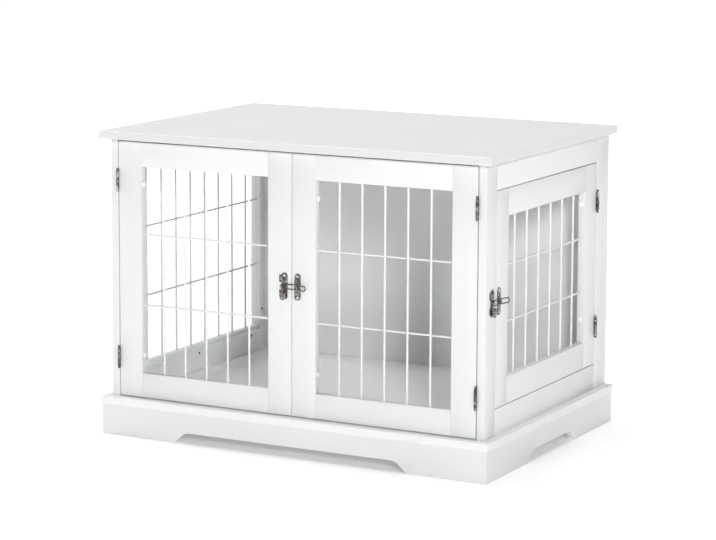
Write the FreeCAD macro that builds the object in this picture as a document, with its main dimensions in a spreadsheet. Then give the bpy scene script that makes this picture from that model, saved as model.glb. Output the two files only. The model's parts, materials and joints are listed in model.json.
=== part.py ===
import FreeCAD, Part
import math
import os
import re

import Sketcher

# Dog crate end table: a kennel cabinet of painted boards with wire grilles, two front doors and
# one side door. +Z is up, the front faces -Y, and the origin is at the centre of the footprint.

doc = FreeCAD.newDocument("dog_crate_end_table")
Vector = FreeCAD.Vector
Rotation = FreeCAD.Rotation

# ---------------------------------------------------------------- driving sizes, in millimetres

sizes = {
    "top_width": 800,            # tabletop and bottom board, left to right
    "top_depth": 565,            # tabletop and bottom board, front to back
    "top_thick": 15,
    "board_round": 1.5,          # rounded edges of the tabletop and the bottom board
    "bottom_thick": 15,
    "frame_height": 485,         # floor to the underside of the tabletop
    "frame_thick": 15,           # side frames and doors
    "side_overhang": 15.4,       # tabletop past the side frames
    "front_overhang": 18.7,        # tabletop past the front doors
    "back_overhang": 3.5,          # tabletop past the back panel
    "back_thick": 15,
    "skirt_height": 57,
    "skirt_thick": 15,
    "skirt_inset": 2,          # skirt behind the edge of the bottom board
    "arch_rise": 20.5,           # height of the cut between two bracket feet
    "ogee_run": 46,              # width of the S curve at each foot
    "ogee_dip": 2,               # how far the S curve is carried on below the floor line
    "front_foot": 144.5,           # foot width on the front and back skirts
    "side_foot": 160.5,            # foot width on the side skirts
    "block_side": 35,            # glue blocks inside the skirt corners
    "block_lift": 8,             # glue blocks above the floor line
    "side_stile": 42,            # right side frame, round the side door
    "side_rail_low": 47.5,
    "side_rail_high": 49.5,
    "grille_stile": 16,          # left side frame, round the fixed grille
    "grille_rail_low": 47.5,
    "grille_rail_high": 50,
    "hinge_gap": 2.4,            # front doors to the side frames
    "mid_gap": 1.6,              # between the front doors
    "low_gap": 2,              # front doors above the bottom board
    "high_gap": 4.5,               # front doors below the tabletop
    "side_gap": 2.4,             # at the hinge edge of the side door
    "side_clear": 1.6,           # round the other three edges of the side door
    "door_stile": 48,
    "front_rail": 45.5,
    "side_rail": 48.8,
    "wire_radius": 2,
    "wire_bite": 8,              # wire ends inside the frame
    "end_play": 0.5,             # blind holes are this much deeper than what they hold
    "upright_depth": 8.2,        # upright wires behind the outer face
    "weld_sink": 0.2,            # level wires pressed into the upright ones
    "front_wire_half": 66.5,     # level wires above and below the middle of a front window
    "front_wire_pitch": 45.5,
    "side_wire_half": 51,
    "side_wire_rise": 2.5,       # middle of the level wires above the middle of the side window
    "side_wire_pitch": 52,
    "left_wire_half": 66.5,
    "left_wire_pitch": 52.6,       # upright wires of the fixed grille
    "dowel_radius": 3,
    "dowel_half_pitch": 11,
    "dowel_in_stile": 10,
    "dowel_in_rail": 20,
    "cap_radius": 5,             # round caps on the inner edges of the door stiles
    "cap_thick": 2.5,
    "cap_depth": 8.5,
    "front_cap_inset": 34,       # caps to the ends of a front window
    "side_cap_top": 24,
    "side_cap_low": 44,
    "header_height": 42,         # rail behind the front doors, which they close against
    "header_thick": 15,
    "stop_gap": 0.5,             # closed doors to what they close against
    "sill_thick": 12.5,          # floor cleats inside the side frames
    "cleat_thick": 6,            # upright cleats against the back panel
    "cleat_height": 41,
    "stop_height": 56,           # right floor cleat, which the side door closes against
    "cleat_end": 24,             # floor cleats short of the front and back
    "rear_cleat": 16,
    "top_cleat": 18,             # square battens below the tabletop
    "barrel_radius": 2.75,        # hinge barrels
    "barrel_length": 34,
    "barrel_stand": 3,           # barrel axis in front of the door face
    "leaf_thick": 1,
    "leaf_depth": 14,
    "knuckle_play": 0.35,
    "barrel_play": 0.4,          # round a knuckle in the other leaf
    "pin_radius": 1.25,
    "pin_play": 0.05,
    "finial_radius": 2.3,
    "finial_neck": 1.2,
    "hinge_end": 72.5,           # hinge centre to the end of its door
    "hinge_screw_half": 12,
    "hinge_screw_depth": 8.5,
    "screw_head": 2.5,
    "screw_shank": 1.3,
    "screw_head_high": 1,
    "hinge_screw_long": 12,
    "plate_thick": 1.5,          # latch plates
    "plate_width": 12.4,
    "plate_height": 49,
    "wing_width": 4.2,           # ears on the outer edge of the catch plate
    "wing_height": 13.5,
    "wing_centre": 13.5,
    "plate_screw_half": 19,
    "plate_screw_long": 9,
    "dome_high": 1.4,
    "latch_height": 311.5,       # middle of the latches above the floor
    "front_latch_shift": 1.5,    # front latch to the right of the middle gap
    "side_latch_shift": 2,       # side latch in front of the gap beside the side door
    "catch_offset": 16,          # catch plate to the left of the latch centre
    "pivot_offset": 11,          # link plate to the right of the latch centre
    "link_radius": 1.1,          # latch link wire
    "link_half": 4.25,           # half the height of the link, wire centre to centre
    "link_reach": 33,            # pivot to the closed end of the link
    "ring_reach": 22.6,          # pivot to the end of the finger ring
    "ring_tilt": 18,             # degrees that the finger ring stands away from the door
    "link_barrel": 2.4,
    "link_barrel_half": 2.8,
    "link_pin_play": 0.05,
    "stud_radius": 2.7,          # six-sided stud, over its corners
    "stud_long": 3.7,
    "boss_drop": 11,             # pivot of the tongue below the latch centre
    "boss_radius": 1.8,
    "shoulder_radius": 2.6,      # collar behind the tongue
    "boss_head": 3.1,
    "boss_head_high": 1,
    "tongue_thick": 1.4,
    "tongue_gap": 4.1,           # tongue in front of its plate
    "tongue_width": 11.5,
    "tongue_drop": 14,
    "tongue_play": 0.3,
    "fixing_head": 3.2,          # countersunk and dome headed screws of the cabinet
    "fixing_shank": 1.6,
    "base_screw_long": 45,
    "base_screw_end": 58,        # from the end of the rail that a base screw goes up into
    "back_screw_long": 28,
    "cleat_screw_long": 20,
    "rear_screw_long": 14,
    "cleat_screw_end": 46,       # from the end of the rail that a floor cleat is screwed to
    "cleat_screw_low": 6,      # screw centre below the top of a floor cleat
    "top_screw_long": 28,
    "top_screw_end": 43,         # from the end of the batten
    "back_screw_rise": 175,      # upper and lower screws of the back panel, from its middle
    "cleat_screw_rise": 161.5,
    "edge_screw_drop": 17.5,
    "edge_screw_long": 16,
    "edge_screw_back": 6,
}

sheet = doc.addObject("Spreadsheet::Sheet", "Sizes")
for row, (alias, number) in enumerate(sizes.items(), 1):
    sheet.set(f"A{row}", alias)
    sheet.set(f"B{row}", str(number))
    sheet.setAlias(f"B{row}", alias)

# ------------------------------------------------------------------ places worked out from them

places = {
    "side_face": "top_width / 2 - side_overhang",
    "frame_inner": "side_face - frame_thick",
    "front_face": "front_overhang - top_depth / 2",
    "frame_rear": "top_depth / 2 - back_overhang - back_thick",
    "floor_level": "skirt_height + bottom_thick",
    "top_under": "floor_level + frame_height",
    "frame_middle": "floor_level + frame_height / 2",
    "door_low": "floor_level + low_gap",
    "door_high": "top_under - high_gap",
    "left_hinge_edge": "hinge_gap - frame_inner",
    "left_lock_edge": "-mid_gap / 2",
    "right_lock_edge": "mid_gap / 2",
    "right_hinge_edge": "frame_inner - hinge_gap",
    "opening_front": "front_face + side_stile",
    "opening_rear": "frame_rear - side_stile",
    "opening_low": "floor_level + side_rail_low",
    "opening_high": "top_under - side_rail_high",
    "side_lock_edge": "opening_front + side_clear",
    "side_hinge_edge": "opening_rear - side_gap",
    "side_door_low": "opening_low + side_clear",
    "side_door_high": "opening_high - side_clear",
    "side_latch_centre": "opening_front + side_gap / 2 - side_latch_shift",
    "grille_low": "floor_level + grille_rail_low",
    "grille_high": "top_under - grille_rail_high",
    "grille_front": "front_face + grille_stile",
    "grille_rear": "frame_rear - grille_stile",
    "level_depth": "upright_depth + 2 * wire_radius - weld_sink",
    "skirt_front": "top_depth / 2 - skirt_inset",
    "skirt_side": "top_width / 2 - skirt_inset",
    "front_skirt_length": "2 * skirt_side",
    "side_skirt_length": "2 * skirt_front",
    "ogee_rise": "arch_rise + ogee_dip",
    "ogee_half_run": "ogee_run / 2",
    "ogee_half_rise": "ogee_rise / 2",
    "front_arch_span": "front_skirt_length - 2 * front_foot",
    "front_arch_turn": "front_arch_span - ogee_half_run",
    "front_arch_crown": "front_arch_span - ogee_run",
    "side_arch_span": "side_skirt_length - 2 * side_foot",
    "side_arch_turn": "side_arch_span - ogee_half_run",
    "side_arch_crown": "side_arch_span - ogee_run",
    "header_front": "front_face + frame_thick + stop_gap",
    "header_rear": "header_front + header_thick",
    "left_sill_top": "floor_level + cleat_height",
    "right_sill_top": "floor_level + stop_height",
    "stop_inner": "frame_inner - stop_gap",
    "cleat_front": "front_face + cleat_end",
    "cleat_rear": "frame_rear - cleat_end",
    "knuckle_long": "barrel_length / 5",
    "latch_barrel_out": "plate_thick + link_barrel",
    "boss_out": "plate_thick + tongue_gap + tongue_thick + tongue_play",
}

place_sheet = doc.addObject("Spreadsheet::Sheet", "Places")


def full(text):
    """The expression with each alias given its sheet."""
    def named(match):
        word = match.group(0)
        if word in sizes:
            return "Sizes." + word
        if word in places:
            return "Places." + word
        return word
    return re.sub(r"[a-z_]+", named, str(text))


for row, (alias, formula) in enumerate(places.items(), 1):
    cell_text = full(formula).replace("Places.", "")
    place_sheet.set(f"A{row}", alias)
    place_sheet.set(f"B{row}", "=" + cell_text)
    place_sheet.setAlias(f"B{row}", alias)
doc.recompute()


def number_of(alias):
    """The present value of a size or a place."""
    return float(getattr(sheet if alias in sizes else place_sheet, alias))


def bind(item, prop, text):
    item.setExpression(prop, full(text))


# -------------------------------------------------------- faces of the cabinet and basic solids
# A place on a face is given as (along, depth, up). Depth runs inwards from the outer face.

FACES = {
    "front": {
        "x": "{along}", "y": "front_face + {depth}",
        "turn": {"along": ((0, 1, 0), 90), "depth": ((1, 0, 0), -90), "up": ((0, 0, 1), 0)},
        "yaw": 0,
    },
    "right": {
        "x": "side_face - ({depth})", "y": "{along}",
        "turn": {"along": ((1, 0, 0), -90), "depth": ((0, 1, 0), -90), "up": ((0, 0, 1), 0)},
        "yaw": 90,
    },
    "left": {
        "x": "{depth} - side_face", "y": "{along}",
        "turn": {"along": ((1, 0, 0), -90), "depth": ((0, 1, 0), 90), "up": ((0, 0, 1), 0)},
        "yaw": -90,
    },
    "back": {
        "x": "{along}", "y": "frame_rear + back_thick - ({depth})",
        "turn": {"along": ((0, 1, 0), 90), "depth": ((1, 0, 0), 90), "up": ((0, 0, 1), 0)},
        "yaw": 180,
    },
    "plan": {
        "x": "{along}", "y": "{depth}",
        "turn": {"along": ((0, 1, 0), 90), "depth": ((1, 0, 0), -90), "up": ((0, 0, 1), 0)},
        "yaw": 0,
    },
}

nodes = []


def node(item, name):
    """Marks a finished item as a sub-part of its own, under its own name."""
    item.Label = name
    nodes.append(item)
    return item


def fresh(kind, name):
    return doc.addObject(kind, name)


def put(item, face, along, depth, up):
    """Binds the item's base point to a place on a face."""
    bind(item, "Placement.Base.x", FACES[face]["x"].format(along=along, depth=depth))
    bind(item, "Placement.Base.y", FACES[face]["y"].format(along=along, depth=depth))
    bind(item, "Placement.Base.z", up)


def turn(item, face, axis):
    vector, angle = FACES[face]["turn"][axis]
    item.Placement.Rotation = Rotation(Vector(*vector), angle)


def board(name, face, along, depth, up):
    """A square-edged board, each direction given by its two limits."""
    item = fresh("Part::Box", name)
    spans = {
        "x": (FACES[face]["x"], along, depth),
        "y": (FACES[face]["y"], along, depth),
    }
    for axis, prop in (("x", "Length"), ("y", "Width")):
        form = spans[axis][0]
        low = form.format(along=f"({along[0]})", depth=f"({depth[0]})")
        high = form.format(along=f"({along[1]})", depth=f"({depth[1]})")
        if "- (" in form:
            low, high = high, low
        bind(item, f"Placement.Base.{axis}", low)
        bind(item, prop, f"({high}) - ({low})")
    bind(item, "Placement.Base.z", up[0])
    bind(item, "Height", f"({up[1]}) - ({up[0]})")
    return item


def rod(name, face, axis, along, depth, up, radius, length):
    """A round rod that starts at a place on a face and runs along one of its directions."""
    item = fresh("Part::Cylinder", name)
    turn(item, face, axis)
    put(item, face, along, depth, up)
    bind(item, "Radius", radius)
    bind(item, "Height", length)
    return item


def taper(name, face, axis, along, depth, up, start, end, length):
    item = fresh("Part::Cone", name)
    turn(item, face, axis)
    put(item, face, along, depth, up)
    bind(item, "Radius1", start)
    bind(item, "Radius2", end)
    bind(item, "Height", length)
    return item


def ball(name, face, along, depth, up, radius):
    item = fresh("Part::Sphere", name)
    put(item, face, along, depth, up)
    bind(item, "Radius", radius)
    return item


def joined(name, items):
    item = fresh("Part::MultiFuse", name)
    item.Shapes = items
    return item


def group(name, items):
    """Separate solids of one kind under one name."""
    item = fresh("Part::Compound", name)
    item.Links = items
    return item


def carved(name, base, tools):
    """The base with every tool cut away from it."""
    if not tools:
        return base
    tool = tools[0] if len(tools) == 1 else joined(name + "_cuts", tools)
    item = fresh("Part::Cut", name)
    item.Base = base
    item.Tool = tool
    return item


# ------------------------------------------------------------------------------- sketched solids

def sketch_on(body, plane, name):
    sketch = body.newObject("Sketcher::SketchObject", name)
    origin_plane = next(f for f in body.Origin.OriginFeatures if f.Role == plane)
    sketch.AttachmentSupport = [(origin_plane, "")]
    sketch.MapMode = "FlatFace"
    return sketch


def pin_point(sketch, geometry, position, place):
    """Fixes one point of a sketch at two named values. None means on the sketch's axis."""
    for alias, kind, axis in ((place[0], "DistanceX", -2), (place[1], "DistanceY", -1)):
        if alias is None:
            sketch.addConstraint(Sketcher.Constraint("PointOnObject", geometry, position, axis))
            continue
        rule = Sketcher.Constraint(kind, -1, 1, geometry, position, number_of(alias))
        index = sketch.addConstraint(rule)
        sketch.setExpression(f"Constraints[{index}]", full(alias))


def value(alias):
    return 0.0 if alias is None else number_of(alias)


def outline(sketch, points, edges):
    """A closed outline. Each edge is (start, end) or, for an arc, (start, end, centre)."""
    spot = {key: Vector(value(place[0]), value(place[1]), 0) for key, place in points.items()}
    first_use = {}
    for edge in edges:
        start, end = spot[edge[0]], spot[edge[1]]
        if len(edge) == 2:
            index = sketch.addGeometry(Part.LineSegment(start, end), False)
            ends = ((1, edge[0]), (2, edge[1]))
        else:
            across = points[edge[2]][0]
            middle = Vector(value(across), 0, 0)
            gap = start - end
            # The centre lies on its upright and at equal distances from both ends of the arc.
            middle.y = (start.y + end.y) / 2 + gap.x * ((start.x + end.x) / 2 - middle.x) / gap.y
            radius = (start - middle).Length
            first = math.atan2(start.y - middle.y, start.x - middle.x)
            last = math.atan2(end.y - middle.y, end.x - middle.x)
            circle = Part.Circle(middle, Vector(0, 0, 1), radius)
            index = sketch.addGeometry(Part.ArcOfCircle(circle, first, last), False)
            ends = ((1, edge[0]), (2, edge[1]))
        for position, key in ends:
            if key in first_use:
                mate = first_use[key]
                sketch.addConstraint(
                    Sketcher.Constraint("Coincident", index, position, mate[0], mate[1]))
            else:
                first_use[key] = (index, position)
                pin_point(sketch, index, position, points[key])
        if len(edge) == 3:
            if across is None:
                sketch.addConstraint(Sketcher.Constraint("PointOnObject", index, 3, -2))
            else:
                rule = Sketcher.Constraint("DistanceX", -1, 1, index, 3, number_of(across))
                rule_index = sketch.addConstraint(rule)
                sketch.setExpression(f"Constraints[{rule_index}]", full(across))


def rounded_slab(name, width, depth, thickness, up):
    """A flat board, centred on the footprint, with all its edges rounded."""
    body = fresh("PartDesign::Body", name)
    sketch = sketch_on(body, "XY_Plane", name + "_plan")
    corners = {"a": (None, None), "b": (width, None), "c": (width, depth), "d": (None, depth)}
    outline(sketch, corners, [("a", "b"), ("b", "c"), ("c", "d"), ("d", "a")])
    pad = body.newObject("PartDesign::Pad", name + "_slab")
    pad.Profile = sketch
    bind(pad, "Length", thickness)
    doc.recompute()
    edge = body.newObject("PartDesign::Fillet", name + "_edges")
    edge.Base = (pad, [f"Edge{i + 1}" for i in range(len(pad.Shape.Edges))])
    bind(edge, "Radius", "board_round")
    body.Tip = edge
    bind(body, "Placement.Base.x", f"-{width} / 2")
    bind(body, "Placement.Base.y", f"-{depth} / 2")
    bind(body, "Placement.Base.z", up)
    return body


def arch(name, span, turn_at, crown_end):
    """The space between two bracket feet: two S curves and a level crown between them."""
    body = fresh("PartDesign::Body", name)
    sketch = sketch_on(body, "XZ_Plane", name + "_outline")
    points = {
        "heel": (None, None),
        "rise": ("ogee_half_run", "ogee_half_rise"),
        "crown": ("ogee_run", "ogee_rise"),
        "crown_end": (crown_end, "ogee_rise"),
        "fall": (turn_at, "ogee_half_rise"),
        "toe": (span, None),
    }
    outline(sketch, points, [
        ("heel", "rise", "heel"),
        ("crown", "rise", "crown"),
        ("crown", "crown_end"),
        ("fall", "crown_end", "crown_end"),
        ("fall", "toe", "toe"),
        ("toe", "heel"),
    ])
    pad = body.newObject("PartDesign::Pad", name + "_through")
    pad.Profile = sketch
    bind(pad, "Length", "4 * skirt_thick")
    pad.SideType = "Symmetric"
    body.Tip = pad
    return body


# ------------------------------------------------------------------------------ top, base, skirt

def skirt(name, length, foot, arch_body, angle, corner_x, corner_y):
    """A mitred skirt board with two bracket feet, built at the origin and turned into place."""
    blank = fresh("Part::Wedge", name + "_blank")
    limits = {
        "Xmin": "0", "Xmax": length, "Zmin": "0", "Zmax": "skirt_height",
        "Ymin": "0", "Ymax": "skirt_thick",
        "X2min": "skirt_thick", "X2max": f"{length} - skirt_thick",
        "Z2min": "0", "Z2max": "skirt_height",
    }
    for prop, formula in limits.items():
        bind(blank, prop, formula)
    space = fresh("Part::Compound", name + "_space")
    space.Links = [arch_body]
    bind(space, "Placement.Base.x", foot)
    bind(space, "Placement.Base.z", "-ogee_dip")
    item = carved(name, blank, [space])
    item.Placement.Rotation = Rotation(Vector(0, 0, 1), angle)
    bind(item, "Placement.Base.x", corner_x)
    bind(item, "Placement.Base.y", corner_y)
    return node(item, name)


top = rounded_slab("top_slab", "top_width", "top_depth", "top_thick", "top_under")
bottom = rounded_slab("bottom_slab", "top_width", "top_depth", "bottom_thick", "skirt_height")

front_arch = arch("front_arch", "front_arch_span", "front_arch_turn", "front_arch_crown")
side_arch = arch("side_arch", "side_arch_span", "side_arch_turn", "side_arch_crown")
skirt("front_skirt", "front_skirt_length", "front_foot", front_arch, 0, "-skirt_side", "-skirt_front")
skirt("right_skirt", "side_skirt_length", "side_foot", side_arch, 90, "skirt_side", "-skirt_front")
skirt("back_skirt", "front_skirt_length", "front_foot", front_arch, 180, "skirt_side", "skirt_front")
skirt("left_skirt", "side_skirt_length", "side_foot", side_arch, 270, "-skirt_side", "skirt_front")

blocks = []
for side, near in ((-1, "-skirt_side + skirt_thick"), (1, "skirt_side - skirt_thick - block_side")):
    for end, low in ((-1, "-skirt_front + skirt_thick"), (1, "skirt_front - skirt_thick - block_side")):
        blocks.append(board(
            f"block_{side + 1}_{end + 1}", "plan",
            (near, f"{near} + block_side"), (low, f"{low} + block_side"),
            ("block_lift", "skirt_height")))
node(group("corner_blocks", blocks), "corner_blocks")


# --------------------------------------------------------------------- wires, dowels and screws

def spread(window, pitch, count):
    """Places at equal steps, centred on the window."""
    middle = f"({window[0]} + {window[1]}) / 2"
    return [f"{middle} + {i - (count - 1) / 2} * {pitch}" for i in range(count)]


def grille(name, face, window, heights, middles, level_half, level_rise="0"):
    """A welded grille: upright wires in front of two level ones. Gives it and its hole cutters."""
    def wires(tag, extra, reach):
        made = []
        for index, middle in enumerate(middles):
            made.append(rod(
                f"{name}_{tag}_upright_{index}", face, "up", middle, "upright_depth",
                f"{heights[0]} - ({reach})", extra, f"{heights[1]} - ({heights[0]}) + 2 * ({reach})"))
        for sign in ("-", "+"):
            level = f"({heights[0]} + {heights[1]}) / 2 + {level_rise} {sign} {level_half}"
            made.append(rod(
                f"{name}_{tag}_level_{'low' if sign == '-' else 'high'}", face, "along",
                f"{window[0]} - ({reach})", "level_depth", level,
                extra, f"{window[1]} - ({window[0]}) + 2 * ({reach})"))
        return made
    solid = joined(name, wires("wire", "wire_radius", "wire_bite"))
    holes = wires("hole", "wire_radius", "wire_bite + end_play")
    return node(solid, name), holes


def dowels_for(name, face, stile_edges, rail_middles):
    """Two dowels in each joint of a frame. Gives the dowels and the cutters for their holes."""
    pegs = []
    holes = []
    for edge_index, (edge, sign) in enumerate(stile_edges):
        start = f"{edge} - dowel_in_stile" if sign > 0 else f"{edge} - dowel_in_rail"
        for rail_index, middle in enumerate(rail_middles):
            for offset in ("-", "+"):
                up = f"{middle} {offset} dowel_half_pitch"
                tag = f"{name}_{edge_index}{rail_index}{'l' if offset == '-' else 'h'}"
                pegs.append(rod(
                    tag, face, "along", start, "frame_thick / 2", up,
                    "dowel_radius", "dowel_in_stile + dowel_in_rail"))
                holes.append(rod(
                    tag + "_hole", face, "along", f"{start} - end_play", "frame_thick / 2", up,
                    "dowel_radius", "dowel_in_stile + dowel_in_rail + 2 * end_play"))
    return pegs, holes


def sunk_screw(name, face, axis, place, sign, head, shank, long):
    """A countersunk screw whose head is flush at the place. Gives it and its hole cutter.

    The sign says whether the screw runs with or against the axis."""
    along, depth, up = place

    def shifted(distance):
        moved = {"along": along, "depth": depth, "up": up}
        moved[axis] = f"{moved[axis]} {'+' if sign > 0 else '-'} ({distance})"
        return moved["along"], moved["depth"], moved["up"]

    def shape(tag, extra):
        if sign > 0:
            cone = taper(f"{name}_{tag}_head", face, axis, along, depth, up,
                         head, shank, "screw_head_high")
            body = rod(f"{name}_{tag}_shank", face, axis, *shifted("screw_head_high"),
                       shank, f"{long} - screw_head_high + {extra}")
        else:
            cone = taper(f"{name}_{tag}_head", face, axis, *shifted("screw_head_high"),
                         shank, head, "screw_head_high")
            body = rod(f"{name}_{tag}_shank", face, axis, *shifted(f"{long} + {extra}"),
                       shank, f"{long} - screw_head_high + {extra}")
        return joined(f"{name}_{tag}", [cone, body])

    return shape("screw", "0"), shape("hole", "end_play")


def dome_screw(name, face, axis, place, head, shank, high, long):
    """A screw whose dome head stands on a face, driven inwards. Gives it and its hole cutter."""
    along, depth, up = place
    moved = {"along": along, "depth": depth, "up": up}
    moved[axis] = f"{moved[axis]} - {high}"
    dome = taper(f"{name}_dome", face, axis, moved["along"], moved["depth"], moved["up"],
                 f"{head} * 0.55", head, high)
    stem = rod(f"{name}_stem", face, axis, along, depth, up, shank, long)
    hole = rod(f"{name}_hole", face, axis, along, depth, up, shank, f"{long} + end_play")
    return joined(name, [dome, stem]), hole


# --------------------------------------------------------------------------------------- hinges

def hinge(name, face, frame_edge, sign, up):
    """A butt hinge in the gap beside a door, its barrel in front of the face.

    Sign is +1 where the door lies on the higher side of the gap. It gives the frame leaf, the
    door leaf, the pin with its ball finials, and the screws and cutters of both leaves."""
    gap = "hinge_gap" if face == "front" else "side_gap"
    step = "+" if sign > 0 else "-"
    axis_at = f"{frame_edge} {step} {gap} / 2"
    door_edge = f"{frame_edge} {step} {gap}"
    low = f"{up} - barrel_length / 2"

    def leaf_span(edge, outward):
        if outward > 0:
            return (edge, f"{edge} + leaf_thick")
        return (f"{edge} - leaf_thick", edge)

    def knuckle(tag, index, radius, play):
        return rod(
            f"{name}_{tag}_{index}", face, "up", axis_at, "-barrel_stand",
            f"{low} + {index} * knuckle_long + {play}", radius, f"knuckle_long - 2 * ({play})")

    def leaf(tag, edge, outward, own, other, bore_radius):
        plate = board(f"{name}_{tag}_plate", face, leaf_span(edge, outward),
                      ("-barrel_stand", "leaf_depth"), (low, f"{low} + barrel_length"))
        rolls = [knuckle(tag + "_roll", i, "barrel_radius", "knuckle_play / 2") for i in own]
        rooms = [knuckle(tag + "_room", i, "barrel_radius + barrel_play", "-knuckle_play / 2")
                 for i in other]
        bore = rod(f"{name}_{tag}_bore", face, "up", axis_at, "-barrel_stand", f"{low} - 1",
                   bore_radius, "barrel_length + 2")
        screws = []
        holes = []
        surface = f"{edge} + leaf_thick" if outward > 0 else f"{edge} - leaf_thick"
        for index, offset in enumerate(("-", "+")):
            place = (surface, "hinge_screw_depth", f"{up} {offset} hinge_screw_half")
            screw, hole = sunk_screw(f"{name}_{tag}_{index}", face, "along", place, -outward,
                                     "screw_head", "screw_shank", "hinge_screw_long")
            screws.append(screw)
            holes.append(hole)
        whole = joined(f"{name}_{tag}_rolled", [plate] + rolls)
        return carved(f"{name}_{tag}", whole, rooms + [bore] + holes), screws, holes

    frame_leaf, frame_screws, frame_holes = leaf(
        "frame", frame_edge, sign, (0, 2, 4), (1, 3), "pin_radius")
    door_leaf, door_screws, door_holes = leaf(
        "door", door_edge, -sign, (1, 3), (0, 2, 4), "pin_radius + pin_play")
    shaft = rod(f"{name}_shaft", face, "up", axis_at, "-barrel_stand",
                f"{low} - finial_neck", "pin_radius", "barrel_length + 2 * finial_neck")
    low_ball = ball(f"{name}_low_ball", face, axis_at, "-barrel_stand",
                    f"{low} - finial_neck - finial_radius * 0.7", "finial_radius")
    high_ball = ball(f"{name}_high_ball", face, axis_at, "-barrel_stand",
                     f"{low} + barrel_length + finial_neck + finial_radius * 0.7", "finial_radius")
    pin = joined(f"{name}_pin", [shaft, low_ball, high_ball])
    return {
        "frame_leaf": frame_leaf, "door_leaf": door_leaf, "pin": pin,
        "frame_screws": frame_screws, "door_screws": door_screws,
        "frame_holes": frame_holes, "door_holes": door_holes,
    }


# --------------------------------------------------------------------------------------- latches

def plate_blank(name, face, centre):
    """A flat plate with round ends, standing on a face."""
    straight = "plate_height / 2 - plate_width / 2"
    strap = board(f"{name}_strap", face,
                  (f"{centre} - plate_width / 2", f"{centre} + plate_width / 2"),
                  ("-plate_thick", "0"),
                  (f"latch_height - ({straight})", f"latch_height + ({straight})"))
    ends = [rod(f"{name}_end_{sign}", face, "depth", centre, "-plate_thick",
                f"latch_height {mark} ({straight})", "plate_width / 2", "plate_thick")
            for sign, mark in (("low", "-"), ("high", "+"))]
    return [strap] + ends


def plate_screws(name, face, centre):
    """Two dome headed screws near the ends of a plate."""
    screws = []
    holes = []
    for sign, mark in (("low", "-"), ("high", "+")):
        place = (centre, "-plate_thick", f"latch_height {mark} plate_screw_half")
        screw, hole = dome_screw(f"{name}_screw_{sign}", face, "depth", place,
                                 "screw_head", "screw_shank", "dome_high",
                                 "plate_thick + plate_screw_long")
        screws.append(screw)
        holes.append(hole)
    return screws, holes


def catch_plate(name, face, latch_at):
    """The plate that the link closes over: ears, a stud, and the boss of the tongue."""
    centre = f"{latch_at} - catch_offset"
    parts = plate_blank(name, face, centre)
    for sign, mark in (("low", "-"), ("high", "+")):
        middle = f"latch_height {mark} wing_centre"
        parts.append(board(
            f"{name}_wing_{sign}", face,
            (f"{centre} - plate_width / 2 - wing_width", f"{centre}"),
            ("-plate_thick", "0"),
            (f"{middle} - wing_height / 2", f"{middle} + wing_height / 2")))
    stud = fresh("Part::Prism", f"{name}_stud")
    stud.Polygon = 6
    turn(stud, face, "depth")
    put(stud, face, centre, "-plate_thick - stud_long", "latch_height")
    bind(stud, "Circumradius", "stud_radius")
    bind(stud, "Height", "plate_thick + stud_long")
    parts.append(stud)
    parts.append(rod(f"{name}_shoulder", face, "depth", centre, "-plate_thick - tongue_gap + tongue_play",
                     "latch_height - boss_drop", "shoulder_radius",
                     "plate_thick + tongue_gap - tongue_play"))
    parts.append(rod(f"{name}_boss", face, "depth", centre, "-boss_out",
                     "latch_height - boss_drop", "boss_radius", "boss_out"))
    parts.append(rod(f"{name}_boss_head", face, "depth", centre, "-boss_out - boss_head_high",
                     "latch_height - boss_drop", "boss_head", "boss_head_high"))
    screws, holes = plate_screws(name, face, centre)
    node(carved(name, joined(name + "_cast", parts), holes), name)
    return screws, holes


def latch_tongue(name, face, latch_at):
    """A tongue with a round end that hangs on the boss of its plate."""
    centre = f"{latch_at} - catch_offset"
    outer = "-plate_thick - tongue_gap - tongue_thick"
    hub = "latch_height - boss_drop"
    round_at = f"{hub} - tongue_drop + tongue_width / 2"
    parts = [
        board(f"{name}_tongue", face,
              (f"{centre} - tongue_width / 2", f"{centre} + tongue_width / 2"),
              (outer, f"{outer} + tongue_thick"), (round_at, hub)),
        rod(f"{name}_tip", face, "depth", centre, outer, round_at, "tongue_width / 2", "tongue_thick"),
        rod(f"{name}_hub", face, "depth", centre, outer, hub, "boss_head + tongue_play", "tongue_thick"),
    ]
    hole = rod(f"{name}_eye", face, "depth", centre, f"{outer} - 1", hub,
               "boss_radius + link_pin_play", "tongue_thick + 2")
    node(carved(name, joined(name + "_blank", parts), [hole]), name)


def link_plate(name, face, latch_at):
    """The plate that carries the link in a short barrel."""
    centre = f"{latch_at} + pivot_offset"
    parts = plate_blank(name, face, centre)
    parts.append(rod(f"{name}_barrel", face, "up", centre, "-latch_barrel_out",
                     "latch_height - link_barrel_half", "link_barrel", "2 * link_barrel_half"))
    parts.append(board(f"{name}_foot", face,
                       (f"{centre} - link_barrel", f"{centre} + link_barrel"),
                       ("-latch_barrel_out", "0"),
                       ("latch_height - link_barrel_half", "latch_height + link_barrel_half")))
    bore = rod(f"{name}_bore", face, "up", centre, "-latch_barrel_out",
               "latch_height - link_barrel_half - 1", "link_radius + link_pin_play",
               "2 * link_barrel_half + 2")
    screws, holes = plate_screws(name, face, centre)
    node(carved(name, joined(name + "_cast", parts), holes + [bore]), name)
    return screws, holes


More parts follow.
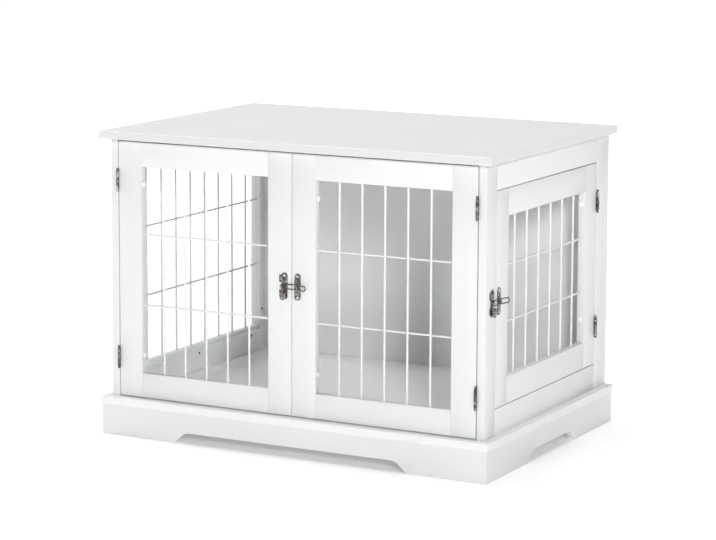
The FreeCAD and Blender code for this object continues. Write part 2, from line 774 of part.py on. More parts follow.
def latch_link(name, face, latch_at):
    """A wire link on an upright pin: a long loop to one side and a tilted finger ring."""
    tilt = number_of("ring_tilt")
    flat = Rotation(Vector(0, 1, 0), 90)
    pieces = []

    def bar(tag, rotation, up, length):
        item = fresh("Part::Cylinder", f"{name}_{tag}")
        item.Placement.Rotation = rotation
        bind(item, "Placement.Base.z", up)
        bind(item, "Radius", "link_radius")
        bind(item, "Height", length)
        pieces.append(item)

    def bow(tag, rotation, reach, angle):
        item = fresh("Part::Torus", f"{name}_{tag}")
        item.Placement.Rotation = rotation
        bind(item, "Radius1", "link_half")
        bind(item, "Radius2", "link_radius")
        item.Angle3 = 180
        bind(item, "Placement.Base.x", f"({reach} - link_half) * ({math.cos(math.radians(angle)):.9f})")
        bind(item, "Placement.Base.y", f"({reach} - link_half) * ({math.sin(math.radians(angle)):.9f})")
        pieces.append(item)

    upright = Rotation(Vector(1, 0, 0), 90)
    ring_turn = Rotation(Vector(0, 0, 1), -tilt)
    for sign, mark in (("low", "-"), ("high", "")):
        bar(f"arm_{sign}", Rotation(Vector(0, 1, 0), -90), f"{mark}link_half", "link_reach - link_half")
        bar(f"ring_{sign}", ring_turn.multiply(flat), f"{mark}link_half", "ring_reach - link_half")
        knee = fresh("Part::Sphere", f"{name}_knee_{sign}")
        bind(knee, "Placement.Base.z", f"{mark}link_half")
        bind(knee, "Radius", "link_radius")
        pieces.append(knee)
    bow("loop_end", Rotation(Vector(0, 1, 0), -90).multiply(upright), "link_reach", 180)
    bow("ring_end", ring_turn.multiply(Rotation(Vector(0, 1, 0), 90)).multiply(upright),
        "ring_reach", -tilt)
    bar("pin", Rotation(), "-link_half", "2 * link_half")
    item = joined(name, pieces)
    item.Placement.Rotation = Rotation(Vector(0, 0, 1), FACES[face]["yaw"])
    put(item, face, f"{latch_at} + pivot_offset", "-latch_barrel_out", "latch_height")
    node(item, name)


# ----------------------------------------------------------------------------------------- doors

def door(name, face, hinge_edge, lock_edge, low, high, rail, wiring, cap_insets, frame_edge, latch):
    """A framed door with its grille, dowels, caps, hinge leaves, screws and latch plate."""
    sign = 1 if face == "front" and name.startswith("left") else -1
    inward = "+" if sign > 0 else "-"
    hinge_inner = f"{hinge_edge} {inward} door_stile"
    lock_inner = f"{lock_edge} {'-' if sign > 0 else '+'} door_stile"
    window = (hinge_inner, lock_inner) if sign > 0 else (lock_inner, hinge_inner)
    heights = (f"{low} + {rail}", f"{high} - {rail}")
    uprights, pitch, level_half, level_rise = wiring
    middles = spread(window, pitch, uprights)

    mesh, wire_holes = grille(f"{name}_grille", face, window, heights, middles, level_half, level_rise)
    rail_middles = (f"{low} + {rail} / 2", f"{high} - {rail} / 2")
    pegs, peg_holes = dowels_for(f"{name}_dowel", face, ((window[0], 1), (window[1], -1)), rail_middles)
    node(group(f"{name}_dowels", pegs), f"{name}_dowels")

    hinges = [hinge(f"{name}_hinge_{tag}", face, frame_edge, sign, up)
              for tag, up in (("low", f"{low} + hinge_end"), ("high", f"{high} - hinge_end"))]
    plate_maker, latch_at = latch
    plate_fixings, plate_holes = plate_maker(f"{name}_latch_plate", face, latch_at)

    level_holes = wire_holes[uprights:]
    upright_holes = wire_holes[:uprights]
    hinge_holes = [hole for item in hinges for hole in item["door_holes"]]
    stile_spans = {
        "hinge": (hinge_edge, hinge_inner) if sign > 0 else (hinge_inner, hinge_edge),
        "lock": (lock_inner, lock_edge) if sign > 0 else (lock_edge, lock_inner),
    }
    thick = ("0", "frame_thick")
    for kind, extra in (("hinge", hinge_holes), ("lock", plate_holes)):
        blank = board(f"{name}_{kind}_stile_blank", face, stile_spans[kind], thick, (low, high))
        node(carved(f"{name}_{kind}_stile", blank, level_holes + peg_holes + extra),
             f"{name}_{kind}_stile")
    for kind, up in (("bottom", (low, heights[0])), ("top", (heights[1], high))):
        blank = board(f"{name}_{kind}_rail_blank", face, window, thick, up)
        node(carved(f"{name}_{kind}_rail", blank, upright_holes + peg_holes), f"{name}_{kind}_rail")

    caps = []
    for index, edge in enumerate((window[0], f"{window[1]} - cap_thick")):
        for tag, up in (("low", f"{heights[0]} + {cap_insets[0]}"),
                        ("high", f"{heights[1]} - {cap_insets[1]}")):
            caps.append(rod(f"{name}_cap_{index}_{tag}", face, "along", edge, "cap_depth", up,
                            "cap_radius", "cap_thick"))
    node(group(f"{name}_caps", caps), f"{name}_caps")
    node(group(f"{name}_hinge_leaves", [item["door_leaf"] for item in hinges]),
         f"{name}_hinge_leaves")
    screws = [screw for item in hinges for screw in item["door_screws"]] + plate_fixings
    node(group(f"{name}_screws", screws), f"{name}_screws")
    return hinges


front_wiring = (5, "front_wire_pitch", "front_wire_half", "0")
side_wiring = (6, "side_wire_pitch", "side_wire_half", "side_wire_rise")
front_caps = ("front_cap_inset", "front_cap_inset")
side_caps = ("side_cap_low", "side_cap_top")
left_hinges = door(
    "left_door", "front", "left_hinge_edge", "left_lock_edge", "door_low", "door_high",
    "front_rail", front_wiring, front_caps, "-frame_inner", (catch_plate, "front_latch_shift"))
right_hinges = door(
    "right_door", "front", "right_hinge_edge", "right_lock_edge", "door_low", "door_high",
    "front_rail", front_wiring, front_caps, "frame_inner", (link_plate, "front_latch_shift"))
side_hinges = door(
    "side_door", "right", "side_hinge_edge", "side_lock_edge", "side_door_low", "side_door_high",
    "side_rail", side_wiring, side_caps, "opening_rear", (link_plate, "side_latch_centre"))

latch_link("front_latch_link", "front", "front_latch_shift")
latch_link("side_latch_link", "right", "side_latch_centre")
latch_tongue("front_latch_tongue", "front", "front_latch_shift")
latch_tongue("side_latch_tongue", "right", "side_latch_centre")
post_fixings, post_holes = catch_plate("post_latch_plate", "right", "side_latch_centre")

all_hinges = left_hinges + right_hinges + side_hinges
node(group("frame_hinge_leaves", [item["frame_leaf"] for item in all_hinges]), "frame_hinge_leaves")
node(group("hinge_pins", [item["pin"] for item in all_hinges]), "hinge_pins")


def frame_holes(hinges):
    return [hole for item in hinges for hole in item["frame_holes"]]


# --------------------------------------------------------------------- screws of the cabinet

cabinet_screws = [screw for item in all_hinges for screw in item["frame_screws"]] + post_fixings
base_holes = []
back_holes = []
cleat_holes = []
top_holes = []

back_heights = ("frame_middle - back_screw_rise", "frame_middle", "frame_middle + back_screw_rise")
rail_ends = {"left": ("grille_front", "grille_rear"), "right": ("opening_front", "opening_rear")}


def three_along(ends, inset):
    """Places near both ends of a board and at its middle."""
    start, stop = ends
    return f"{start} + {inset}", f"({start} + {stop}) / 2", f"{stop} - {inset}"


for side, sign in (("left", "-"), ("right", "")):
    across = f"{sign}(side_face - frame_thick / 2)"
    for index, reach in enumerate(three_along(rail_ends[side], "base_screw_end")):
        screw, hole = sunk_screw(f"base_{side}_{index}", "plan", "up", (across, reach, "skirt_height"),
                                 1, "fixing_head", "fixing_shank", "base_screw_long")
        cabinet_screws.append(screw)
        base_holes.append(hole)
    for index, up in enumerate(back_heights):
        screw, hole = sunk_screw(f"back_{side}_{index}", "back", "depth", (across, "0", up),
                                 1, "fixing_head", "fixing_shank", "back_screw_long")
        cabinet_screws.append(screw)
        back_holes.append(hole)


def inward_screw(name, side, along, up, surface, long):
    """A dome headed screw driven outwards from inside the cabinet, and its hole cutter."""
    dome = taper(f"{name}_dome", side, "depth", along, surface, up,
                 "screw_head", "screw_head * 0.55", "dome_high")
    stem = rod(f"{name}_stem", side, "depth", along, f"{surface} - {long}", up,
               "screw_shank", long)
    hole = rod(f"{name}_hole", side, "depth", along, f"{surface} - {long} - end_play", up,
               "screw_shank", f"{long} + end_play")
    return joined(name, [dome, stem]), hole


for side in ("left", "right"):
    inner_gap = "frame_thick + sill_thick" + ("" if side == "left" else " + stop_gap")
    for index, reach in enumerate(three_along(rail_ends[side], "cleat_screw_end")):
        screw, hole = inward_screw(f"sill_{side}_{index}", side, reach,
                                   "left_sill_top - cleat_screw_low", inner_gap, "cleat_screw_long")
        cabinet_screws.append(screw)
        cleat_holes.append(hole)
    for index, step in enumerate(("-", "+")):
        screw, hole = inward_screw(f"rear_{side}_{index}", side, "frame_rear - rear_cleat / 2",
                                   f"frame_middle {step} cleat_screw_rise",
                                   "frame_thick + cleat_thick", "rear_screw_long")
        cabinet_screws.append(screw)
        cleat_holes.append(hole)
    batten = "frame_inner - top_cleat / 2"
    across = f"-({batten})" if side == "left" else batten
    batten_ends = ("header_rear", "(frame_rear - rear_cleat)")
    for index, reach in enumerate(three_along(batten_ends, "top_screw_end")):
        screw, hole = sunk_screw(f"top_{side}_{index}", "plan", "up",
                                 (across, reach, "top_under - top_cleat"), 1,
                                 "fixing_head", "fixing_shank", "top_screw_long")
        cabinet_screws.append(screw)
        top_holes.append(hole)
    screw, hole = sunk_screw(f"edge_{side}", side, "depth",
                             ("frame_rear + edge_screw_back", "0", "top_under - edge_screw_drop"),
                             1, "screw_head", "screw_shank", "edge_screw_long")
    cabinet_screws.append(screw)
    back_holes.append(hole)
node(group("cabinet_screws", cabinet_screws), "cabinet_screws")

# ------------------------------------------------------------------------- cabinet side frames

full_up = ("floor_level", "top_under")
thick = ("0", "frame_thick")
window_left = ("grille_front", "grille_rear")
left_middles = spread(window_left, "left_wire_pitch", 9)
left_mesh, left_wire_holes = grille(
    "left_grille", "left", window_left, ("grille_low", "grille_high"), left_middles, "left_wire_half")
left_pegs, left_peg_holes = dowels_for(
    "left_frame_dowel", "left", (("grille_front", 1), ("grille_rear", -1)),
    ("floor_level + grille_rail_low / 2", "top_under - grille_rail_high / 2"))
right_pegs, right_peg_holes = dowels_for(
    "right_frame_dowel", "right", (("opening_front", 1), ("opening_rear", -1)),
    ("floor_level + side_rail_low / 2", "top_under - side_rail_high / 2"))
node(group("frame_dowels", left_pegs + right_pegs), "frame_dowels")

cabinet_holes = base_holes + back_holes + cleat_holes

frame_boards = (
    ("left_front_stile", "left", ("front_face", "grille_front"), full_up,
     left_wire_holes[9:] + left_peg_holes + frame_holes(left_hinges)),
    ("left_rear_stile", "left", ("grille_rear", "frame_rear"), full_up,
     left_wire_holes[9:] + left_peg_holes + cabinet_holes),
    ("left_bottom_rail", "left", window_left, ("floor_level", "grille_low"),
     left_wire_holes[:9] + left_peg_holes + cabinet_holes),
    ("left_top_rail", "left", window_left, ("grille_high", "top_under"),
     left_wire_holes[:9] + left_peg_holes),
    ("right_front_stile", "right", ("front_face", "opening_front"), full_up,
     right_peg_holes + frame_holes(right_hinges) + post_holes),
    ("right_rear_stile", "right", ("opening_rear", "frame_rear"), full_up,
     right_peg_holes + frame_holes(side_hinges) + cabinet_holes),
    ("right_bottom_rail", "right", ("opening_front", "opening_rear"), ("floor_level", "opening_low"),
     right_peg_holes + cabinet_holes),
    ("right_top_rail", "right", ("opening_front", "opening_rear"), ("opening_high", "top_under"),
     right_peg_holes),
)
for name, side, along, up, cutters in frame_boards:
    blank = board(name + "_blank", side, along, thick, up)
    node(carved(name, blank, cutters), name)

# ----------------------------------------------------------- back, header, cleats and the floor

back_blank = board("back_panel_blank", "back", ("-side_face", "side_face"), ("0", "back_thick"), full_up)
node(carved("back_panel", back_blank, back_holes), "back_panel")
node(board("front_header", "plan", ("-frame_inner", "frame_inner"), ("header_front", "header_rear"),
           ("top_under - header_height", "top_under")), "front_header")

side_cleats = []
for side, sill_top in (("left", "left_sill_top"), ("right", "right_sill_top")):
    inner = "frame_thick" if side == "left" else "frame_thick + stop_gap"
    sill_blank = board(f"{side}_sill_blank", side, ("cleat_front", "cleat_rear"),
                       (inner, f"{inner} + sill_thick"), ("floor_level", sill_top))
    side_cleats.append(carved(f"{side}_sill_cleat", sill_blank, cleat_holes))
    batten_blank = board(f"{side}_batten_blank", side, ("header_rear", "frame_rear - rear_cleat"),
                         ("frame_thick", "frame_thick + top_cleat"),
                         ("top_under - top_cleat", "top_under"))
    side_cleats.append(carved(f"{side}_top_batten", batten_blank, top_holes))
node(group("side_cleats", side_cleats), "side_cleats")

rear_cleats = []
for side in ("left", "right"):
    blank = board(f"{side}_rear_blank", side, ("frame_rear - rear_cleat", "frame_rear"),
                  ("frame_thick", "frame_thick + cleat_thick"), full_up)
    rear_cleats.append(carved(f"{side}_rear_cleat", blank, cleat_holes))
node(group("rear_cleats", rear_cleats), "rear_cleats")

node(carved("bottom_board", bottom, base_holes), "bottom_board")
node(carved("table_top", top, top_holes), "table_top")

# -------------------------------------------------------------------------------- check and save

doc.recompute()
faults = []
for item in doc.Objects:
    if "Invalid" in item.State or "Error" in item.State:
        faults.append(f"{item.Label}: {item.State}")
for item in nodes:
    if item.Shape.isNull() or not item.Shape.isValid() or not item.Shape.Solids:
        faults.append(f"{item.Label}: no valid solid")
if faults:
    raise SystemExit("\n".join(faults))

os.makedirs("parts", exist_ok=True)
for item in nodes:
    item.Shape.exportStep(f"parts/{item.Label}.step")
    print(f"{item.Label}: {len(item.Shape.Solids)} solids, {item.Shape.Volume / 1000:.1f} cm3")
print(len(nodes), "sub-parts")
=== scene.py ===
import bpy
import bmesh
import json
import math
from mathutils import Matrix, Vector


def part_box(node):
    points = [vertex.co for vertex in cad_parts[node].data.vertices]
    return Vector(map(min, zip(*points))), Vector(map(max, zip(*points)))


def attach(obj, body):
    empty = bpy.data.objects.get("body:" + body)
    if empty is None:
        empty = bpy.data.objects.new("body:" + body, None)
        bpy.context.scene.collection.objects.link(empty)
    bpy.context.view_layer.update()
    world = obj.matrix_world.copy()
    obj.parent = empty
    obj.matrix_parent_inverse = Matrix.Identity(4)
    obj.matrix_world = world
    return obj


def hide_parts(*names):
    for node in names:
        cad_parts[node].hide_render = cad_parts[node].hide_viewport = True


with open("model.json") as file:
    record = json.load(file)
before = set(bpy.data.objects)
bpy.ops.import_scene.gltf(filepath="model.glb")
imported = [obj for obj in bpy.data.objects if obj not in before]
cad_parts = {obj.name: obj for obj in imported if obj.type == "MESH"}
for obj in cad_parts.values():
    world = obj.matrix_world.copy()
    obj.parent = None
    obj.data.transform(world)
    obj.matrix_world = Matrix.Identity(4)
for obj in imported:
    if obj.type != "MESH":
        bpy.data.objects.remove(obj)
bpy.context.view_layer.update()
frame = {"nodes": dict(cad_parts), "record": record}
nodes = frame["nodes"]
bodies = frame["record"]["behaviour"]["bodies"]
nodeBody = {node: body for body, names in bodies.items() for node in names}
print("loaded", len(nodes), "nodes")

# ---- camera: fitted to the photograph's edges, lengths in metres, pixels of a 716 x 540 image

camera = {
    "focal": 2583.6, "imageWidth": 716, "sensor": 36,
    "azimuth": 28.01, "elevation": 8.16, "roll": 0.25,
    "distance": 4.8524, "target": (-0.00626, 0, 0.4388), "shift": -72,
}


def placeCamera():
    azimuth, elevation = math.radians(camera["azimuth"]), math.radians(camera["elevation"])
    back = Vector((math.sin(azimuth) * math.cos(elevation),
                   -math.cos(azimuth) * math.cos(elevation), math.sin(elevation)))
    right = (-back).cross(Vector((0, 0, 1))).normalized()
    up = right.cross(-back)
    roll = math.radians(camera["roll"])
    sideways = right * math.cos(roll) + up * math.sin(roll)
    upwards = up * math.cos(roll) - right * math.sin(roll)
    data = bpy.data.cameras.new("photoCamera")
    data.sensor_width = camera["sensor"]
    data.lens = camera["focal"] * camera["sensor"] / camera["imageWidth"]
    data.shift_y = camera["shift"] / camera["imageWidth"]
    data.clip_end = 50
    shot = bpy.data.objects.new("photoCamera", data)
    bpy.context.scene.collection.objects.link(shot)
    turn = Matrix((sideways, upwards, back)).transposed().to_4x4()
    shot.matrix_world = Matrix.Translation(Vector(camera["target"]) + back * camera["distance"]) @ turn
    bpy.context.scene.camera = shot


placeCamera()
print("camera placed")

# ---- materials


def newMaterial(name):
    material = bpy.data.materials.new(name)
    material.use_nodes = True
    tree = material.node_tree
    shader = next(n for n in tree.nodes if n.type == "BSDF_PRINCIPLED")
    return material, tree, shader


def addNode(tree, kind, values=None, **settings):
    node = tree.nodes.new(kind)
    for key, value in settings.items():
        setattr(node, key, value)
    for key, value in (values or {}).items():
        node.inputs[key].default_value = value
    return node


def stretched(tree, scale, turn=(0, 0, 0)):
    coords = addNode(tree, "ShaderNodeTexCoord")
    mapping = addNode(tree, "ShaderNodeMapping", {"Scale": scale, "Rotation": turn})
    tree.links.new(coords.outputs["Object"], mapping.inputs["Vector"])
    return mapping.outputs["Vector"]


def noise(tree, vector, scale, detail=3, rough=0.5):
    spots = addNode(tree, "ShaderNodeTexNoise", {"Scale": scale, "Detail": detail, "Roughness": rough})
    tree.links.new(vector, spots.inputs["Vector"])
    return spots.outputs["Fac"]


def ramp(tree, factor, stops):
    bar = addNode(tree, "ShaderNodeValToRGB")
    tree.links.new(factor, bar.inputs["Fac"])
    while len(bar.color_ramp.elements) < len(stops):
        bar.color_ramp.elements.new(0.5)
    for element, (place, colour) in zip(bar.color_ramp.elements, stops):
        element.position = place
        element.color = (*colour, 1)
    return bar.outputs["Color"]


def spread(tree, factor, low, high):
    place = addNode(tree, "ShaderNodeMapRange", {"To Min": low, "To Max": high})
    tree.links.new(factor, place.inputs["Value"])
    return place.outputs["Result"]


def bump(tree, height, strength, distance, under=None):
    relief = addNode(tree, "ShaderNodeBump", {"Strength": strength, "Distance": distance})
    tree.links.new(height, relief.inputs["Height"])
    if under:
        tree.links.new(under, relief.inputs["Normal"])
    return relief.outputs["Normal"]


def multiplied(tree, first, second):
    blend = addNode(tree, "ShaderNodeMix", data_type="RGBA", blend_type="MULTIPLY")
    blend.inputs[0].default_value = 1
    tree.links.new(first, blend.inputs[6])
    tree.links.new(second, blend.inputs[7])
    return blend.outputs[2]


def coated(shader, weight, rough):
    shader.inputs["Coat Weight"].default_value = weight
    shader.inputs["Coat Roughness"].default_value = rough


grainTurn = {"x": (4, 140, 140), "y": (140, 4, 140), "z": (140, 140, 4)}  # long along the grain

boardPaint = {
    "light": (0.732, 0.745, 0.739), "dark": (0.714, 0.727, 0.721),
    "grainDepth": 0.00002, "peelDepth": 0.00004, "rough": (0.36, 0.46), "coat": (0.1, 0.3),
}
topPaint = {
    "light": (0.742, 0.744, 0.737), "dark": (0.728, 0.73, 0.723),
    "grainDepth": 0.00002, "peelDepth": 0.00004, "rough": (0.34, 0.42), "coat": (0.12, 0.3),
    "edge": {"from": 0.5706, "to": 0.5716, "tone": 0.87},  # heights in metres; painted shade: the tabletop's edge is darkened below this height
}
# painted light: the same white paint as the other boards, made lighter to stand in for more light on the
# floor inside; a guess that brings the inside nearer to the photograph
floorPaintedLight = {**boardPaint, "light": (0.8, 0.807, 0.803), "dark": (0.785, 0.79, 0.787)}


def paintedWood(name, paint, along):
    material, tree, shader = newMaterial(name)
    grain = noise(tree, stretched(tree, grainTurn[along]), 1, 6, 0.6)
    flat = stretched(tree, (1, 1, 1))
    broad = noise(tree, flat, 7, 3)
    peel = noise(tree, flat, 620, 2)
    tone = ramp(tree, broad, [(0.3, paint["dark"]), (0.7, paint["light"])])
    faint = ramp(tree, grain, [(0.35, (0.994, 0.994, 0.993)), (0.65, (1, 1, 1))])
    colour = multiplied(tree, tone, faint)
    # painted shade: a board with an edge entry is multiplied darker below the given height, so its edge
    # reads shaded
    if "edge" in paint:
        edge = paint["edge"]
        height = addNode(tree, "ShaderNodeSeparateXYZ")
        tree.links.new(flat, height.inputs[0])
        edgeShadeBand = addNode(tree, "ShaderNodeMapRange", {
            "From Min": edge["from"], "From Max": edge["to"],
            "To Min": edge["tone"], "To Max": 1})
        tree.links.new(height.outputs["Z"], edgeShadeBand.inputs["Value"])
        colour = multiplied(tree, colour, edgeShadeBand.outputs["Result"])
    tree.links.new(colour, shader.inputs["Base Color"])
    tree.links.new(spread(tree, noise(tree, flat, 38, 4), *paint["rough"]), shader.inputs["Roughness"])
    under = bump(tree, grain, 0.6, paint["grainDepth"])
    tree.links.new(bump(tree, peel, 0.5, paint["peelDepth"], under), shader.inputs["Normal"])
    coated(shader, *paint["coat"])
    return material


paint = {axis: paintedWood("boardPaint" + axis.upper(), boardPaint, axis) for axis in "xyz"}
tabletopPaint = paintedWood("tabletopPaint", topPaint, "x")
floorBoardPaintedLight = paintedWood("floorBoardPaintedLight", floorPaintedLight, "x")

bareWood = {
    "light": (0.66, 0.5, 0.33), "dark": (0.48, 0.33, 0.2), "rough": (0.55, 0.75),
    "poreTone": (0.7, 0.66, 0.6), "poreFiner": 6, "poreDepth": 0.0002,
}


def plainWood(name, along):
    material, tree, shader = newMaterial(name)
    grain = noise(tree, stretched(tree, grainTurn[along]), 1.2, 8, 0.65)
    finer = tuple(v * bareWood["poreFiner"] for v in grainTurn[along])
    pores = noise(tree, stretched(tree, finer), 1, 3)
    tone = ramp(tree, grain, [(0.3, bareWood["dark"]), (0.7, bareWood["light"])])
    dots = ramp(tree, pores, [(0.3, bareWood["poreTone"]), (0.5, (1, 1, 1))])
    tree.links.new(multiplied(tree, tone, dots), shader.inputs["Base Color"])
    tree.links.new(spread(tree, grain, *bareWood["rough"]), shader.inputs["Roughness"])
    tree.links.new(bump(tree, pores, 0.5, bareWood["poreDepth"]), shader.inputs["Normal"])
    return material


rawWood = plainWood("rawWood", "z")

wireCoat = {
    "light": (0.76, 0.768, 0.764), "dark": (0.71, 0.718, 0.714),
    "rough": (0.3, 0.42), "peel": 0.00004, "coat": (0.25, 0.2),
}
# painted shade: the same white coat as the doors' wires, darkened to stand in for the shade on the fixed
# grille's wires; a guess, so the fixed grille reads grey on white as in the photograph
paintedShadeWireLook = {**wireCoat, "light": (0.6, 0.607, 0.604), "dark": (0.54, 0.547, 0.544)}


def coatedWire(name, look):
    material, tree, shader = newMaterial(name)
    flat = stretched(tree, (1, 1, 1))
    tone = ramp(tree, noise(tree, flat, 55, 3), [(0.3, look["dark"]), (0.65, look["light"])])
    tree.links.new(tone, shader.inputs["Base Color"])
    tree.links.new(spread(tree, noise(tree, flat, 160, 2), *look["rough"]), shader.inputs["Roughness"])
    tree.links.new(bump(tree, noise(tree, flat, 1300, 2), 0.5, look["peel"]), shader.inputs["Normal"])
    coated(shader, *look["coat"])
    return material


wirePaint = coatedWire("wireCoat", wireCoat)
paintedShadeWire = coatedWire("paintedShadeWireCoat", paintedShadeWireLook)

capLook = {
    "light": (0.88, 0.885, 0.88), "dark": (0.84, 0.845, 0.84), "rough": (0.35, 0.45), "grit": 0.00002,
}


def mouldedCap():
    material, tree, shader = newMaterial("capPlastic")
    flat = stretched(tree, (1, 1, 1))
    tone = ramp(tree, noise(tree, flat, 260, 2), [(0.3, capLook["dark"]), (0.7, capLook["light"])])
    tree.links.new(tone, shader.inputs["Base Color"])
    tree.links.new(spread(tree, noise(tree, flat, 400, 2), *capLook["rough"]), shader.inputs["Roughness"])
    tree.links.new(bump(tree, noise(tree, flat, 2600, 2), 0.3, capLook["grit"]), shader.inputs["Normal"])
    return material


capPlastic = mouldedCap()


metalRelief = {"brushedDepth": 0.00004, "fineDepth": 0.00005}


def agedMetal(name, look):
    material, tree, shader = newMaterial(name)
    flat = stretched(tree, (1, 1, 1))
    patches = noise(tree, flat, look["patch"], 5, 0.62)
    fine = noise(tree, flat, 1900, 3)
    brushed = noise(tree, stretched(tree, (2600, 2600, 160)), 1, 3)
    tone = ramp(tree, patches, [(0.34, look["dark"]), (0.52, look["middle"]), (0.68, look["light"])])
    tree.links.new(tone, shader.inputs["Base Color"])
    tree.links.new(spread(tree, patches, *look["rough"]), shader.inputs["Roughness"])
    under = bump(tree, brushed, 0.35, metalRelief["brushedDepth"])
    tree.links.new(bump(tree, fine, 0.4, metalRelief["fineDepth"], under), shader.inputs["Normal"])
    shader.inputs["Metallic"].default_value = look["metallic"]
    return material


pewterLook = {"dark": (0.035, 0.033, 0.03), "middle": (0.17, 0.163, 0.15), "light": (0.5, 0.485, 0.46),
              "patch": 230, "rough": (0.2, 0.42), "metallic": 1.0}
# partly real patina, partly painted highlight and shade: dark and bright blotches about a knuckle long
# stand in for the dark gaps between knuckles and their silver highlights
hingePatinaAndHighlightLook = {"dark": (0.02, 0.019, 0.018), "middle": (0.15, 0.145, 0.135), "light": (0.62, 0.61, 0.59),
             "patch": 125, "rough": (0.2, 0.4), "metallic": 1.0}
bronzeLook = {"dark": (0.1, 0.085, 0.074), "middle": (0.27, 0.235, 0.205), "light": (0.45, 0.4, 0.36),
              "patch": 240, "rough": (0.3, 0.46), "metallic": 0.95}
nickelLook = {"dark": (0.62, 0.615, 0.6), "middle": (0.8, 0.795, 0.78), "light": (0.9, 0.895, 0.88),
              "patch": 420, "rough": (0.3, 0.45), "metallic": 0.6}
screwLook = {"dark": (0.03, 0.028, 0.027), "middle": (0.06, 0.057, 0.053), "light": (0.12, 0.11, 0.1),
             "patch": 500, "rough": (0.35, 0.5), "metallic": 0.85}
# painted shade: a near-black colour for the cross recesses, standing in for the shade inside them
recessShadeLook = {"dark": (0.004, 0.004, 0.004), "middle": (0.008, 0.008, 0.008),
              "light": (0.014, 0.013, 0.012), "patch": 900, "rough": (0.6, 0.8), "metallic": 0.0}
pewter = agedMetal("antiquePewter", pewterLook)
hingePewter = agedMetal("hingePewter", hingePatinaAndHighlightLook)
bronze = agedMetal("agedBronze", bronzeLook)
nickel = agedMetal("brightNickel", nickelLook)
darkScrew = agedMetal("darkScrew", screwLook)
recessShade = agedMetal("screwRecessShade", recessShadeLook)
print("materials made")

# ---- common steps

softAngle = 35  # degrees: sharper edges stay creased, and are the ones that get eased


def finished(name, bm, materials, body, replaced):
    mesh = bpy.data.meshes.new(name)
    bm.normal_update()
    bm.to_mesh(mesh)
    bm.free()
    for material in materials:
        mesh.materials.append(material)
    piece = bpy.data.objects.new(name, mesh)
    bpy.context.scene.collection.objects.link(piece)
    mesh.shade_smooth()
    mesh.set_sharp_from_angle(angle=math.radians(softAngle))
    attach(piece, body)
    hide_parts(*replaced)


def join(bm, part, material=0):
    for face in part.faces:
        face.material_index = material
    mesh = bpy.data.meshes.new("joining")
    part.to_mesh(mesh)
    part.free()
    bm.from_mesh(mesh)
    bpy.data.meshes.remove(mesh)


def block(low, high, edge, segments=2):
    part = bmesh.new()
    bmesh.ops.create_cube(part, size=1)
    low, high = Vector(low), Vector(high)
    bmesh.ops.scale(part, vec=high - low, verts=part.verts)
    bmesh.ops.translate(part, vec=(low + high) / 2, verts=part.verts)
    bmesh.ops.bevel(part, geom=part.edges[:], offset=edge, segments=segments, profile=0.5,
                    affect="EDGES", material=-1, clamp_overlap=True)
    return part


def upTo(direction):
    return Vector((0, 0, 1)).rotation_difference(Vector(direction)).to_matrix().to_4x4()


def rod(start, end, radius, around, edge=0.0):
    part = bmesh.new()
    start, end = Vector(start), Vector(end)
    bmesh.ops.create_cone(part, cap_ends=True, segments=around, radius1=radius, radius2=radius,
                          depth=(end - start).length)
    if edge:
        rims = [e for e in part.edges if abs(e.verts[0].co.z - e.verts[1].co.z) < 1e-7]
        bmesh.ops.bevel(part, geom=rims, offset=edge, segments=2, profile=0.5, affect="EDGES",
                        material=-1, clamp_overlap=True)
    bmesh.ops.transform(part, matrix=Matrix.Translation((start + end) / 2) @ upTo(end - start),
                        verts=part.verts)
    return part


def turned(profile, place, direction, around):
    part = bmesh.new()
    spots = [part.verts.new((radius, 0, height)) for radius, height in profile]
    edges = [part.edges.new(pair) for pair in zip(spots, spots[1:])]
    bmesh.ops.spin(part, geom=spots + edges, cent=(0, 0, 0), axis=(0, 0, 1), angle=math.tau,
                   steps=around, use_merge=True, use_duplicate=False)
    bmesh.ops.remove_doubles(part, verts=part.verts, dist=1e-6)
    bmesh.ops.recalc_face_normals(part, faces=part.faces)
    bmesh.ops.transform(part, matrix=Matrix.Translation(Vector(place)) @ upTo(direction),
                        verts=part.verts)
    return part


def cadSolids(node):
    bm = bmesh.new()
    bm.from_mesh(nodes[node].data)
    bmesh.ops.remove_doubles(bm, verts=bm.verts, dist=1e-6)
    bm.verts.ensure_lookup_table()
    left = set(bm.verts)
    solids = []
    while left:
        pile, found = [left.pop()], []
        while pile:
            vert = pile.pop()
            found.append(vert.co.copy())
            for edge in vert.link_edges:
                other = edge.other_vert(vert)
                if other in left:
                    left.remove(other)
                    pile.append(other)
        low = Vector([min(v[i] for v in found) for i in range(3)])
        high = Vector([max(v[i] for v in found) for i in range(3)])
        solids.append({"low": low, "high": high, "points": found})
    bm.free()
    return sorted(solids, key=lambda s: tuple(round(v, 4) for v in (s["low"] + s["high"])))


def longAxis(low, high):
    size = high - low
    return max(range(3), key=lambda i: size[i])


# ---- floor and light

room = {
    "floorLight": (0.86, 0.86, 0.86), "floorDark": (0.84, 0.84, 0.84), "floorSize": 30,
    "glowFrom": 1.2, "glowTo": 4.2, "glowNear": 0.18, "glowFar": 1.02,  # metres, and how much it glows
    "horizon": 1.0, "overhead": 0.03, "fadeFrom": 0.01, "fadeTo": 0.05,  # the sky darkens upwards
}
lamps = {  # degrees from the front and above the floor, metres, watts
    "keyBox": {"azimuth": 37.5, "elevation": 18, "distance": 8.0, "size": 1.4, "power": 382},
    "leftBox": {"azimuth": -90, "elevation": 26, "distance": 8.0, "size": 4.0, "power": 390},
    "farLeftBox": {"azimuth": -108, "elevation": 22, "distance": 8.0, "size": 4.0, "power": 130},
    "topBox": {"azimuth": 180, "elevation": 84, "distance": 6.4, "size": 4.8, "power": 410},
}
lampTarget = Vector((0, 0, 0.3))


